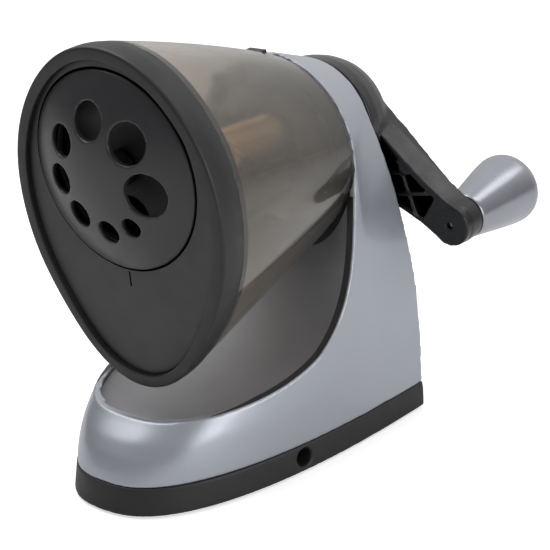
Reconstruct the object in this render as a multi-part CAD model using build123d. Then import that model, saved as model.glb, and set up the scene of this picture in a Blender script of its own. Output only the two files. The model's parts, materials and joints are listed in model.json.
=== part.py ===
from build123d import *
import math
import os

# Crank pencil sharpener, millimetres.
# World frame: +Z up, the face with the pencil dial looks along -Y, +X is on the right hand
# of a person facing the dial. The origin is on the table, under the middle of the base.
#
# Barrel frame: the drive shaft leans back, so everything turned on it is drawn in its own
# frame: x to the right, y up the face, z forwards along the shaft. A "depth" is counted
# backwards along the shaft from the plane of the dial's rim.

# ---- driving dimensions -------------------------------------------------------------
BASE_LENGTH = 116.5
BASE_HALF_WIDTH = 38.0
BASE_EXPONENT = 2.53        # superellipse exponent of the base outline
BASE_TOP = 9.2
BASE_DRAFT = 1.7            # inset of the base's top edge at the tip
SIDE_DRAFT = 0.6            # and at its sides; the back is upright
FOOT_HEIGHT = 0.6           # how far the rubber feet stand out below the tray
WALL = 2.2

SHAFT_TILT = 6.1            # degrees
SHAFT_Y = -41.55            # where the shaft axis meets the dial rim plane
SHAFT_Z = 83.9
SHAFT_RADIUS = 3.0
PIN_RADIUS = 1.5
RUNNING = 0.05              # radial clearance of a running fit

EGG_CENTRE = 5.3            # height of the face outline's centre above the shaft
EGG_RADII = (47.4, 45.6, 42.4, 40.2, 39.2, 40.2, 43.5, 50.9, 56.7)   # top to bottom, 22.5 deg apart
RIM_WIDTH = 3.9
BEZEL_FRONT = -1.4          # depths
BEZEL_BACK = 9.1
BEZEL_TUCK = 1.2            # how far the bezel's rear edge is drawn in
MOUTH = 70.6                # depth of the bin's rear edge
MOUTH_RADIUS = 31.0

DIAL_HEIGHT = 16.3          # dial centre above the shaft
DIAL_RADIUS = 29.7
DIAL_DOME = 7.7
DIAL_SKIN = 2.4
HOLE_PITCH = 16.3
DIAL_HOLES = ((-56.2, 6.0), (-90.0, 7.2), (-130.0, 8.3), (-170.6, 9.0),
              (145.9, 9.3), (96.8, 10.8), (44.2, 11.9), (-10.5, 12.9))   # angle, diameter
PENCIL_BORE = 6.7

ARCH_DEPTH = 71.0           # depth of the silver arch's front edge
ARCH_RADIUS = 31.3
HUB_DEPTH = 92.4            # depth where the housing ends and the crank hub begins
HUB_RADIUS = 23.1
REAR_TILT = 5.2             # lean of the housing's rear wall, degrees

APEX = 104.5                # depth where the cutters' axes meet the shaft axis
CUTTER_SLOPE = math.degrees(math.atan(0.2))
CUTTER_ANGLES = {"a": 48.0, "b": 228.0}      # places round the shaft at rest
CUTTER_RADIUS = 7.5
CUTTER_START = 44.0         # along the cutter axis from the apex
CUTTER_END = 74.4
PINION_TEETH = 15
RING_TEETH = 36
PINION_CONE = 7.867         # pitch cone half angles, degrees
RING_CONE = 19.177
PINION_START = 39.3
PINION_END = 43.5

ARM_PLANE = 97.0            # depth of the arm's open, ribbed side
ARM_ANGLE = -31.7           # where the crank stands at rest
CRANK_RADIUS = 55.5
ARM_TIP_BACK = 105.8
KNOB_END = 136.0

CLAMP_BORE = 3.0
CLAMP_PLACE = (-3.65, 5.1)  # y, z of the clamp rod's hole
CLAMP_DEPTH = 26.0

# ---- frames and small helpers -------------------------------------------------------
tilt = math.radians(SHAFT_TILT)
barrel = Plane(origin=(0, SHAFT_Y, SHAFT_Z), x_dir=(1, 0, 0),
               z_dir=(0, -math.cos(tilt), -math.sin(tilt)))


def in_barrel(shape):
    return barrel.location * shape


def rod(radius, front, back, x=0.0, y=0.0):
    """A cylinder along the barrel frame's z, between two depths."""
    return Pos(x, y, -back) * Cylinder(radius, back - front, align=(Align.CENTER, Align.CENTER, Align.MIN))


def tube(outer, inner, front, back, x=0.0, y=0.0):
    return rod(outer, front, back, x, y) - rod(inner, front - 1, back + 1, x, y)


def turned(profile, x=0.0, y=0.0):
    """A solid of revolution from (radius, depth) corners."""
    face = make_face(Polyline(*[(radius, -depth) for radius, depth in profile], close=True))
    return Pos(x, y, 0) * revolve(Plane.XZ * face, axis=Axis.Z)


def polar(radius, degrees):
    return radius * math.cos(math.radians(degrees)), radius * math.sin(math.radians(degrees))


def block(x_range, y_range, depths):
    """A box in the barrel frame."""
    size = (x_range[1] - x_range[0], y_range[1] - y_range[0], depths[1] - depths[0])
    middle = ((x_range[0] + x_range[1]) / 2, (y_range[0] + y_range[1]) / 2, -(depths[0] + depths[1]) / 2)
    return Pos(*middle) * Box(*size)


def egg_points(inset, towards_mouth=0.0, mouth=MOUTH_RADIUS):
    """The face outline drawn in by inset and blended towards the bin's round mouth."""
    right = []
    for step, radius in enumerate(EGG_RADII):
        reach = (1 - towards_mouth) * (radius - inset) + towards_mouth * (mouth - inset)
        across, up = polar(reach, 90 - 22.5 * step)
        right.append((across, up + EGG_CENTRE * (1 - towards_mouth)))
    left = [(-across, up) for across, up in reversed(right[1:-1])]
    return right + left


def egg_face(depth, inset, towards_mouth=0.0, mouth=MOUTH_RADIUS):
    outline = Spline(*egg_points(inset, towards_mouth, mouth), periodic=True)
    return Pos(0, 0, -depth) * make_face(outline)


def egg_slab(inset, front, back):
    return extrude(egg_face(back, inset), amount=back - front, dir=(0, 0, 1))


def footprint(half_width, tip, back, height, exponent=BASE_EXPONENT):
    """Half a superellipse, pointing forwards, with a flat back."""
    length = back - tip
    right = []
    for step in range(9):
        turn = math.radians(90 * step / 8)
        across = half_width * math.sin(turn) ** (2 / exponent)
        along = back - length * math.cos(turn) ** (2 / exponent)
        right.append((across, along))
    left = [(-across, along) for across, along in reversed(right[1:])]
    outline = Spline(*(left + right)) + Line(right[-1], left[0])
    return Pos(0, 0, height) * make_face(outline)


TIP = -BASE_LENGTH / 2
BACK = BASE_LENGTH / 2


# ---- base ---------------------------------------------------------------------------
FEET = ((-24, 44), (24, 44), (-21, -22), (21, -22), (0, 0))
BASE_SCREWS = ((-27, 30), (27, 30), (-25, -12), (25, -12))


def base_form(inset, low, high):
    def section(height):
        rise = height / BASE_TOP
        return footprint(BASE_HALF_WIDTH - inset - SIDE_DRAFT * rise, TIP + inset + BASE_DRAFT * rise,
                         BACK - inset, height)
    return loft([section(low), section(high)], ruled=True)


def make_base_tray():
    tray = base_form(0, FOOT_HEIGHT, BASE_TOP) - base_form(2.4, 3.0, BASE_TOP + 1)
    inside = base_form(1.2, FOOT_HEIGHT, BASE_TOP)
    for x, y in BASE_SCREWS:
        tray += Pos(x, y, (FOOT_HEIGHT + BASE_TOP) / 2) * Cylinder(4.2, BASE_TOP - FOOT_HEIGHT) & inside
    y, z = CLAMP_PLACE
    socket = Pos(BASE_HALF_WIDTH - CLAMP_DEPTH / 2 - 3, y, z) * Rot(0, 90, 0) * Cylinder(4.1, CLAMP_DEPTH + 4)
    tray += socket & base_form(0.1, FOOT_HEIGHT, BASE_TOP)
    mouth = Pos(BASE_HALF_WIDTH - CLAMP_DEPTH / 2, y, z) * Rot(0, 90, 0) * Cylinder(CLAMP_BORE, CLAMP_DEPTH)
    tray -= mouth
    for x, y in FEET:
        tray -= Pos(x, y, FOOT_HEIGHT + 0.5) * Cylinder(6.0, 1.0)
    for x, y in BASE_SCREWS:
        tray -= Pos(x, y, 2.0) * Cylinder(3.0, 3.0)
        tray -= Pos(x, y, 6.0) * Cylinder(1.6, 8.0)
    return tray


def make_rubber_feet():
    height = FOOT_HEIGHT + 1.0
    foot = Pos(0, 0, height / 2) * Cylinder(6.0, height)
    return [Pos(x, y, 0) * chamfer(foot.edges().group_by(Axis.Z)[0], 0.4) for x, y in FEET]


def screw(head_radius, head_height, shank_radius, length):
    """Points along +z from the top of a cross-recessed pan head at z = 0."""
    head = Pos(0, 0, head_height / 2) * Cylinder(head_radius, head_height)
    head = fillet(head.edges().group_by(Axis.Z)[0], head_height * 0.4)
    shank = Pos(0, 0, length / 2) * Cylinder(shank_radius, length)
    slot = Box(head_radius * 1.2, 0.5, head_height)
    return head + shank - slot - Rot(0, 0, 90) * slot


def make_base_screws():
    return [Pos(x, y, 1.7) * screw(2.8, 1.7, 1.5, 13) for x, y in BASE_SCREWS]


# ---- housing ------------------------------------------------------------------------
# The side view of the swoosh, where the silver shell is cut open under the bin: y, z.
SWOOSH = ((-62.0, 22.8), (-38.0, 26.8), (-15.0, 29.4), (6.0, 36.3), (17.5, 46.0), (25.9, 67.0), (28.9, 92.0))
ARCH_TOP = (24.8, 131.0)    # the cut runs straight up here, square to the shaft
# Level outlines that narrow the shell towards its toe: height, half width, how far the toe
# leans back, superellipse exponent.
TOE = ((BASE_TOP, BASE_HALF_WIDTH - SIDE_DRAFT, BASE_DRAFT, BASE_EXPONENT), (13.0, 37.5, 2.6, 2.56),
       (17.0, 37.6, 4.3, 2.6), (21.0, 37.6, 7.3, 2.7), (25.0, 37.6, 11.8, 2.8), (35.0, 37.5, 22.0, 3.0),
       (55.0, 36.6, 34.0, 3.2), (130.0, 36.6, 45.0, 3.2))
REAR_LEGS = ((21.4, 8.65), (25.9, -2.5), (29.0, -11.2), (32.0, -22.0), (34.4, -32.7),
             (36.2, -43.0), (37.4, -55.0), (37.6, -70.0), (37.4, -88.0))   # rear outline, from the hub's circle down
REAR_LINE = 50.5            # y of the rear wall at the shaft's height
REAR_HEIGHT = 93.8


def side_view(points, *corners):
    """A solid over the area between a side-view curve and far corners, right across the object."""
    closing = Polyline(points[-1], *corners, points[0])
    return extrude(Plane.YZ * make_face(Spline(*points) + closing), amount=60, both=True)


def arch_section(radius, legs):
    """An upright U: legs as (x, y) from the arch's spring line down."""
    right = Spline(*legs)
    left = Spline(*[(-x, y) for x, y in legs])
    spring, height = legs[0]
    top = ThreePointArc((spring, height), (0, radius), (-spring, height))
    return make_face(top + right + left + Line(legs[-1], (-legs[-1][0], legs[-1][1])))


def housing_form(inset):
    """The housing's outer form drawn in by inset, before the swoosh is cut."""
    front_legs = [(ARCH_RADIUS - inset, 0), (33.6 - inset, -34), (37.4 - inset, -88)]
    rear_legs = [(across - inset, up) for across, up in REAR_LEGS]
    arch = barrel.location * (Pos(0, 0, -ARCH_DEPTH) * arch_section(ARCH_RADIUS - inset, front_legs))
    nose = barrel.location * (Pos(0, 0, 25) * arch_section(ARCH_RADIUS - inset, front_legs))
    lean = math.radians(REAR_TILT)
    rear_plane = Plane(origin=(0, REAR_LINE - inset, REAR_HEIGHT), x_dir=(1, 0, 0),
                       z_dir=(0, -math.cos(lean), -math.sin(lean)))
    rear = rear_plane.location * arch_section(HUB_RADIUS - inset, rear_legs)
    body = loft([nose, arch], ruled=True) + loft([arch, rear], ruled=True)
    toe = loft([footprint(width - inset, TIP + lean_back + inset, BACK + 4, height, exponent)
                for height, width, lean_back, exponent in TOE], ruled=True)
    below = Pos(0, 0, BASE_TOP - 20) * Box(200, 200, 40)
    return (body & toe) - below


def make_housing():
    opening = side_view(SWOOSH, ARCH_TOP, (-120.0, 200.0))
    shell = housing_form(0) - housing_form(WALL) - opening
    shell += in_barrel(rod(HUB_RADIUS - 0.5, 89.9, HUB_DEPTH) + rod(9.0, 85.5, HUB_DEPTH))
    shell -= in_barrel(rod(60, HUB_DEPTH, HUB_DEPTH + 8) & rod(HUB_RADIUS + 1, 80, 120))
    shell -= in_barrel(rod(5.0, 80, 100))
    shell -= in_barrel(rod(MOUTH_RADIUS + 0.4, 60, MOUTH + 0.5))
    for x, y in BASE_SCREWS:
        boss = Pos(x, y, BASE_TOP + 6) * Cylinder(3.6, 12)
        rib = Pos(x + math.copysign(8, x), y, BASE_TOP + 6) * Box(16, 2, 12)
        shell += ((boss + rib) & housing_form(1.0)) - Pos(x, y, BASE_TOP + 4) * Cylinder(1.5, 10)
    return shell


def make_cradle():
    upper = [(y, z - 2.2) for y, z in SWOOSH[:4]] + [(19.6, 44.6), (28.6, 67.0), (31.0, 90.0), (31.5, 100.0)]
    lower = [(y, z - 4.2) for y, z in SWOOSH[:4]] + [(21.2, 43.4), (30.5, 66.6), (33.0, 90.0), (33.5, 100.0)]
    band = side_view(upper, (60.0, -20.0)) - side_view(lower, (60.0, -20.0))
    sheet = band & housing_form(WALL + 0.1)
    sheet -= in_barrel(rod(60, ARCH_DEPTH + 1.5, 140) + rod(ARCH_RADIUS + 0.2, ARCH_DEPTH - 2, 90))
    sheet -= in_barrel(bin_form(-0.6, BEZEL_BACK, MOUTH))
    return sheet.solids().sort_by(SortBy.VOLUME)[-1]


# ---- bulkhead, bearings and ring gear -----------------------------------------------
BULKHEAD_FRONT = 73.0
BULKHEAD_BACK = 75.6
BULKHEAD_SCREWS = ((-22.0, -30.0), (22.0, -30.0), (-25.0, -58.0), (25.0, -58.0))
RING_SCREW_CIRCLE = 22.7
RING_SCREW_TURNS = (30, 150, 270)


def make_bearing_bulkhead():
    slab = in_barrel(rod(140, BULKHEAD_FRONT, BULKHEAD_BACK))
    plate = slab & housing_form(WALL + 0.1)
    plate += in_barrel(rod(8.5, BULKHEAD_FRONT, 80.0) + tube(26.4, 25.2, 68.0, BULKHEAD_FRONT + 1))
    plate -= in_barrel(rod(5.0, 60, 100))
    for x, y in BULKHEAD_SCREWS:
        plate -= in_barrel(rod(1.6, 70, 90, x, y))
    for turn in RING_SCREW_TURNS:
        plate -= in_barrel(rod(1.1, 70, 90, *polar(RING_SCREW_CIRCLE, turn)))
    return plate


def make_bulkhead_screws():
    body = screw(2.8, 1.7, 1.5, 9)
    return [in_barrel(Pos(x, y, -(BULKHEAD_FRONT - 1.7)) * Rot(180, 0, 0) * body) for x, y in BULKHEAD_SCREWS]


def gear_outline(teeth, root, tip, root_share, tip_share, turn=0.0):
    """A gear's outline: straight-flanked teeth, shares are of one tooth pitch."""
    pitch = 360 / teeth
    points = []
    for tooth in range(teeth):
        middle = turn + tooth * pitch
        points.append(polar(root, middle - pitch * root_share / 2))
        points.append(polar(tip, middle - pitch * tip_share / 2))
        points.append(polar(tip, middle + pitch * tip_share / 2))
        points.append(polar(root, middle + pitch * root_share / 2))
    return make_face(Polyline(*points, close=True))


def cone_gear(teeth, cone, start, end, addendum, dedendum, root_share, tip_share, turn=0.0):
    """Teeth that shrink towards an apex at the origin, between two distances along z."""
    sections = []
    for distance in (start, end):
        pitch_radius = distance * math.tan(math.radians(cone))
        scale = distance / end
        face = gear_outline(teeth, pitch_radius - dedendum * scale, pitch_radius + addendum * scale,
                            root_share, tip_share, turn)
        sections.append(Pos(0, 0, distance) * face)
    return loft(sections, ruled=True)


def make_ring_gear():
    front = 63.4
    teeth_back = 67.6
    body = rod(20.4, front, BULKHEAD_FRONT) + rod(25.0, 71.0, BULKHEAD_FRONT)
    # the tooth spaces are a cone gear with room to spare round the pinions' teeth
    spaces = cone_gear(RING_TEETH, RING_CONE, APEX - teeth_back - 0.5, APEX - front + 0.5,
                       0.95, 0.60, 0.74, 0.42, CUTTER_ANGLES["a"])
    body -= Pos(0, 0, -APEX) * spaces
    body -= rod(18.2, teeth_back, 80)
    for turn in RING_SCREW_TURNS:
        body -= rod(1.1, 60, 80, *polar(RING_SCREW_CIRCLE, turn))
    return in_barrel(body)


def make_ring_gear_screws():
    body = screw(2.0, 1.4, 1.05, 6)
    screws = []
    for turn in RING_SCREW_TURNS:
        x, y = polar(RING_SCREW_CIRCLE, turn)
        screws.append(in_barrel(Pos(x, y, -(71.0 - 1.4)) * Rot(180, 0, 0) * body))
    return screws


def make_front_bush():
    return in_barrel(tube(5.0, SHAFT_RADIUS + RUNNING, BULKHEAD_FRONT, 80.0))


def make_rear_bush():
    return in_barrel(tube(5.0, SHAFT_RADIUS + RUNNING, 85.5, HUB_DEPTH))


# ---- cutter head --------------------------------------------------------------------
def cutter_frame(angle):
    """A frame at the apex whose z runs up one cutter's axis and whose x points away from the shaft."""
    slope = math.radians(CUTTER_SLOPE)
    across, up = polar(1.0, angle)
    x_dir = (across * math.cos(slope), up * math.cos(slope), -math.sin(slope))
    z_dir = (across * math.sin(slope), up * math.sin(slope), math.cos(slope))
    return Plane(origin=(0, 0, -APEX), x_dir=x_dir, z_dir=z_dir)


def on_cutter(angle, shape):
    return in_barrel(cutter_frame(angle).location * shape)


def along(radius, start, end):
    return Pos(0, 0, start) * Cylinder(radius, end - start, align=(Align.CENTER, Align.CENTER, Align.MIN))


def make_cutter():
    fluted = gear_outline(14, CUTTER_RADIUS - 1.1, CUTTER_RADIUS, 0.75, 0.16)
    body = Pos(0, 0, CUTTER_START) * extrude(fluted, amount=CUTTER_END - CUTTER_START)
    return body - along(PIN_RADIUS + RUNNING, 0, 100)


def make_pinion():
    body = cone_gear(PINION_TEETH, PINION_CONE, PINION_START, PINION_END, 0.50, 0.85, 0.58, 0.24)
    return body - along(PIN_RADIUS + RUNNING, 0, 100)


def make_cutter_pin():
    return along(PIN_RADIUS, 35.2, 78.3) + along(2.4, 78.3, 79.2)


def make_cutter_carrier():
    front_plate = rod(17.0, 26.6, 29.4) - rod(7.6, 20, 40)
    rear_plate = rod(12.5, 68.1, 71.0)
    body = front_plate + rear_plate
    for side in (0, 180):
        web = block((-5.0, 5.0), (9.0, 16.0), (28.0, 60.0)) & rod(16.4, 20, 80)
        neck = block((-4.0, 4.0), (8.2, 11.0), (59.0, 69.0))
        body += Rot(0, 0, CUTTER_ANGLES["a"] + side) * (web + neck)
    for angle in CUTTER_ANGLES.values():
        frame = cutter_frame(angle).location
        body -= frame * along(PIN_RADIUS, 20, 100)
        body -= frame * along(3.4, 78.3, 90)
        body -= frame * along(9.2, PINION_START - 0.3, CUTTER_END + 0.6)
    body -= rod(SHAFT_RADIUS, 60, 90)
    return in_barrel(body)


def make_drive_shaft():
    return in_barrel(rod(SHAFT_RADIUS, 68.1, 110.0))


def make_head_spacer():
    return in_barrel(tube(5.0, SHAFT_RADIUS, 71.0, BULKHEAD_FRONT - 0.1))


# ---- crank --------------------------------------------------------------------------
ARM_FRONT = ((0, 14.5), (18, 11.3), (32, 8.3), (45, 6.4), (CRANK_RADIUS, 6.9))     # along, half width
ARM_REAR = ((0, 14.5), (18, 11.7), (32, 9.6), (45, 7.9), (CRANK_RADIUS, 7.0))


def arm_outline(half_widths, shrink=0.0):
    """The arm from the hub to its round tip, drawn along +x."""
    half = [(x, y - shrink) for x, y in half_widths]
    upper = Spline(*half)
    lower = Spline(*[(x, -y) for x, y in half])
    tip = ThreePointArc(half[-1], (CRANK_RADIUS + half[-1][1], 0), (CRANK_RADIUS, -half[-1][1]))
    return make_face(upper + tip + lower + Line((0, half[0][1]), (0, -half[0][1])))


def make_crank_arm():
    hub = turned([(0, 92.9), (22.6, 92.9), (23.0, 93.4), (22.4, 98.0), (21.0, 103.0), (18.8, 107.5),
                  (15.6, 110.9), (11.5, 112.7), (0, 112.7)])
    length = CRANK_RADIUS
    bar = loft([Pos(0, 0, -ARM_TIP_BACK) * arm_outline(ARM_REAR), Pos(0, 0, -ARM_PLANE) * arm_outline(ARM_FRONT)],
               ruled=True)
    # the arm is deeper towards the hub: a wedge on its rear side
    wedge_side = make_face(Polyline((0, -105.0), (0, -111.0), (14, -110.4), (46, -105.8), (46, -105.0), close=True))
    wedge = extrude(Plane.XZ * wedge_side, amount=20, both=True)
    deep = extrude(Pos(0, 0, -112.0) * arm_outline(ARM_REAR), amount=112.0 - ARM_TIP_BACK + 0.4)
    bar += wedge & deep
    # the channel between the walls, left solid round the knob's spindle
    channel = extrude(Pos(0, 0, -103.6) * arm_outline(ARM_FRONT, 1.9), amount=20)
    channel &= block((0, 46.5), (-20, 20), (90, 112))
    channel -= rod(HUB_RADIUS - 1.5, 80, 112)
    ribs = None
    for x in (27.5, 38.5):
        for lean in (40, -40):
            rib = Pos(x, 0, -100.0) * Rot(0, 0, lean) * Box(26, 1.2, 7.6)
            ribs = rib if ribs is None else ribs + rib
    bar = bar - channel + (ribs & channel)
    collar = rod(7.2, 100, ARM_TIP_BACK, length, 0)
    bar += collar
    bar -= rod(HUB_RADIUS - 3, 80, 96.9)
    arm = Rot(0, 0, ARM_ANGLE) * bar + hub
    arm -= Rot(0, 0, ARM_ANGLE) * rod(1.1, 90, 98.6, length, 0)
    arm -= Rot(0, 0, ARM_ANGLE) * rod(2.0, 98.5, 110, length, 0)
    arm -= rod(SHAFT_RADIUS, 80, 110.0)
    arm -= rod(1.3, 100, 120) + rod(3.6, 111.0, 120)
    return in_barrel(arm)


def make_arm_screw():
    return in_barrel(Pos(0, 0, -112.7) * screw(3.3, 1.7, 1.3, 2.7))


def make_crank_washer():
    return in_barrel(tube(8.0, SHAFT_RADIUS, HUB_DEPTH + 0.08, 92.85))


KNOB_X, KNOB_Y = polar(CRANK_RADIUS, ARM_ANGLE)


def make_knob_spindle():
    return in_barrel(rod(2.0, 98.5, 130.0, KNOB_X, KNOB_Y))


def make_knob_washer():
    return in_barrel(tube(6.0, 2.0, ARM_TIP_BACK, 106.2, KNOB_X, KNOB_Y))


def make_knob():
    shape = turned([(0, 106.3), (7.1, 106.3), (7.5, 106.8), (8.5, 112.0), (9.9, 119.0), (11.2, 126.0),
                    (11.9, 130.5), (12.0, 132.5), (11.6, 134.3), (10.3, 135.5), (7.5, 135.9),
                    (0, KNOB_END)], KNOB_X, KNOB_Y)
    return in_barrel(shape - rod(2.0 + RUNNING, 100, 130.2, KNOB_X, KNOB_Y))


# ---- bin: the part that pulls off the front -----------------------------------------
def bin_form(inset, front, back):
    sections = []
    for share in (0.0, 0.5, 1.0):
        depth = front + (back - front) * share
        blend = (depth - BEZEL_BACK) / (MOUTH - BEZEL_BACK)
        swell = -0.9 if share == 0.5 else 0.0
        sections.append(egg_face(depth, inset + BEZEL_TUCK * (1 - blend) + swell, blend))
    return loft(sections)


LATCH_SLOT = (3.6, 61.4, 68.6)      # half width, front depth, back depth


def make_bin_shell():
    shell = bin_form(0, BEZEL_BACK, MOUTH) - bin_form(2.0, BEZEL_BACK - 0.01, MOUTH + 0.01)
    half, front, back = LATCH_SLOT
    return in_barrel(shell - block((-half, half), (20, 45), (front, back)))


def make_bin_latch():
    half, front, back = LATCH_SLOT
    tongue = block((-half + 0.4, half - 0.4), (27.2, 28.3), (48.0, 72.2))
    pad = block((-half + 0.4, half - 0.4), (28.0, 32.9), (front + 0.5, back - 0.5))
    root = block((-half + 0.4, half - 0.4), (28.0, 30.4), (48.0, 50.5))
    return in_barrel(tongue + pad + root)


def make_bezel():
    front = egg_slab(0, BEZEL_FRONT + 0.8, 4.0) + loft([egg_face(4.0, 0), egg_face(BEZEL_BACK, BEZEL_TUCK)],
                                                      ruled=True)
    lip = loft([egg_face(BEZEL_FRONT, 0.8), egg_face(BEZEL_FRONT + 0.8, 0)], ruled=True)
    spigot = bin_form(2.1, BEZEL_BACK, MOUTH) & rod(100, BEZEL_BACK, BEZEL_BACK + 3)
    solid = front + lip + spigot
    return in_barrel(solid - egg_slab(RIM_WIDTH, -10, 3.2) - egg_slab(RIM_WIDTH + LEDGE, 3.1, 20))


LEDGE = 1.3                         # the bezel's step that the face plate rests on
PAN_FLOOR = 4.6
PAN_BACK = 6.6
MARK = (-14.5, -19.3)               # index mark under the dial, from and to


def make_face_plate():
    plate = egg_slab(RIM_WIDTH + 0.05, 0.4, 3.2)
    plate -= rod(DIAL_RADIUS + 0.6, -5, 5, 0, DIAL_HEIGHT)
    pan = rod(DIAL_RADIUS + 2.4, 3.0, PAN_BACK, 0, DIAL_HEIGHT)
    pan -= rod(DIAL_RADIUS + 0.6, -5, PAN_FLOOR, 0, DIAL_HEIGHT)
    plate += pan & egg_slab(RIM_WIDTH + LEDGE + 0.2, -5, 20)
    plate -= rod(3.6 + 0.06, 0, 10, 0, DIAL_HEIGHT)
    plate -= rod(8.4, 0, 10)
    pocket = (0, DIAL_HEIGHT + 25.0)
    plate += rod(3.0, PAN_FLOOR, 10.5, *pocket) - rod(1.6, 0, 9.5, *pocket)
    plate -= rod(1.6, 0, 9.5, *pocket)
    plate -= block((-0.3, 0.3), (MARK[1], MARK[0]), (0.0, 0.9))
    return in_barrel(plate)


def make_pencil_guide():
    guide = rod(8.4, PAN_FLOOR, 25.4) + rod(10.0, PAN_BACK, 8.4)
    bore = turned([(0, 0), (PENCIL_BORE + 0.9, 0), (PENCIL_BORE + 0.9, PAN_FLOOR), (PENCIL_BORE, 9.0),
                   (PENCIL_BORE, 30.0), (0, 30.0)])
    return in_barrel(guide - bore)


def make_dial():
    def cap(radius, height, rim, depth):
        ball = (radius * radius + height * height) / (2 * height)
        dome = Pos(0, 0, height - ball) * Sphere(ball)
        return (dome & rod(radius, -height - 1, rim)) + rod(radius, -0.01, depth)
    outer = cap(DIAL_RADIUS, DIAL_DOME, 0, 3.6)
    inner = cap(DIAL_RADIUS - DIAL_SKIN, DIAL_DOME - DIAL_SKIN + 0.4, 0, 4)
    track = rod(DIAL_RADIUS, 1.2, 3.6) - rod(DIAL_RADIUS - 7.0, 0, 5)
    boss = rod(5.2, -6.0, 3.9) + rod(3.6, 3.0, PAN_BACK + 0.1)
    shape = (outer - inner) + (track & rod(DIAL_RADIUS - 0.5, 0, 5)) + boss
    shape -= rod(1.3, 1.0, 10)
    shape -= tube(27.2, 22.8, 3.0, 5)
    for angle, diameter in DIAL_HOLES:
        x, y = polar(HOLE_PITCH, angle)
        shape -= rod(diameter / 2, -20, 10, x, y)
        # the ball's click seat for this hole, opposite the hole
        x, y = polar(25.0, angle + 180)
        shape -= Pos(x, y, -3.2) * Sphere(1.7)
    return in_barrel(Pos(0, DIAL_HEIGHT, 0) * shape)


def make_dial_washer():
    return in_barrel(tube(6.0, 1.3, PAN_BACK + 0.1, PAN_BACK + 0.7, 0, DIAL_HEIGHT))


def make_dial_screw():
    body = screw(3.0, 1.6, 1.3, 6.6)
    return in_barrel(Pos(0, DIAL_HEIGHT, -(PAN_BACK + 2.3)) * body)


def make_detent_ball():
    return in_barrel(Pos(0, DIAL_HEIGHT + 25.0, -4.6) * Sphere(1.5))


def make_detent_spring():
    coil = Helix(pitch=0.9, height=3.0, radius=1.15)
    wire = sweep(Plane(coil @ 0, z_dir=coil % 0) * Circle(0.2), path=coil)
    return in_barrel(Pos(0, DIAL_HEIGHT + 25.0, -9.4) * wire)


# ---- everything, by node ------------------------------------------------------------
def all_parts():
    parts = {
        "base_tray": make_base_tray(),
        "rubber_feet": make_rubber_feet(),
        "base_screws": make_base_screws(),
        "housing": make_housing(),
        "cradle": make_cradle(),
        "bearing_bulkhead": make_bearing_bulkhead(),
        "bulkhead_screws": make_bulkhead_screws(),
        "ring_gear": make_ring_gear(),
        "ring_gear_screws": make_ring_gear_screws(),
        "front_bush": make_front_bush(),
        "rear_bush": make_rear_bush(),
        "drive_shaft": make_drive_shaft(),
        "head_spacer": make_head_spacer(),
        "cutter_carrier": make_cutter_carrier(),
        "cutter_pins": [on_cutter(angle, make_cutter_pin()) for angle in CUTTER_ANGLES.values()],
        "crank_arm": make_crank_arm(),
        "arm_screw": make_arm_screw(),
        "crank_washer": make_crank_washer(),
        "knob_spindle": make_knob_spindle(),
        "knob_washer": make_knob_washer(),
        "knob": make_knob(),
        "bin_shell": make_bin_shell(),
        "bin_latch": make_bin_latch(),
        "bezel": make_bezel(),
        "face_plate": make_face_plate(),
        "pencil_guide": make_pencil_guide(),
        "dial": make_dial(),
        "dial_washer": make_dial_washer(),
        "dial_screw": make_dial_screw(),
        "detent_ball": make_detent_ball(),
        "detent_spring": make_detent_spring(),
    }
    for name, angle in CUTTER_ANGLES.items():
        parts["cutter_" + name] = on_cutter(angle, make_cutter())
        parts["pinion_" + name] = on_cutter(angle, make_pinion())
    return parts


parts = all_parts()
os.makedirs("parts", exist_ok=True)
for name, shape in parts.items():
    if isinstance(shape, list):
        shape = Compound(children=shape)
    export_step(shape, f"parts/{name}.step")
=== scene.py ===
"""Crank pencil sharpener: the looks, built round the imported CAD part.

Lengths are millimetres in the tables below and metres in the meshes. Pieces turned on the
drive shaft are drawn in the barrel's own frame: x to the right, y up the face, and depth
backwards along the shaft from the plane of the dial's rim.
"""

import json
import math

import bmesh
import bpy
import numpy as np
from mathutils import Matrix, Vector
from mathutils.bvhtree import BVHTree


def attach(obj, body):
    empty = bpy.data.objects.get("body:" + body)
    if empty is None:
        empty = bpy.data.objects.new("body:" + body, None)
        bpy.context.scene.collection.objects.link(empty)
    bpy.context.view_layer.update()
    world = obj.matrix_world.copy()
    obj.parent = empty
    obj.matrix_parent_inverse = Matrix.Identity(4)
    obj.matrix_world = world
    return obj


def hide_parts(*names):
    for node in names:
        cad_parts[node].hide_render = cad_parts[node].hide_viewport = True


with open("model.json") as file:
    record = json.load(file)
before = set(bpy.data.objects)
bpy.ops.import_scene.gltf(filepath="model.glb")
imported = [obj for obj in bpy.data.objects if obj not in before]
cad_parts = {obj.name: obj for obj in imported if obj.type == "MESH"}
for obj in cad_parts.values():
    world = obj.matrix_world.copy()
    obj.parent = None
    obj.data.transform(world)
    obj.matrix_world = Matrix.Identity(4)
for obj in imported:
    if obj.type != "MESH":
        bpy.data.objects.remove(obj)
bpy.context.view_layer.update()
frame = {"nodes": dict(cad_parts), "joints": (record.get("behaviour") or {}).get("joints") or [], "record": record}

MM = 0.001
NODES = frame["nodes"]
JOINTS = {joint["name"]: joint for joint in frame["joints"]}

# ---- the barrel's frame, from the crank's joint ----------------------------------------
CRANK_JOINT_DEPTH = 92.0        # where the joint's point lies on the shaft
BACK = Vector(JOINTS["crank_turn"]["axis"]).normalized()
ACROSS = Vector((1, 0, 0))
UP = ACROSS.cross(BACK)
SHAFT_START = Vector(JOINTS["crank_turn"]["pos_m"]) - BACK * CRANK_JOINT_DEPTH * MM

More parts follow.
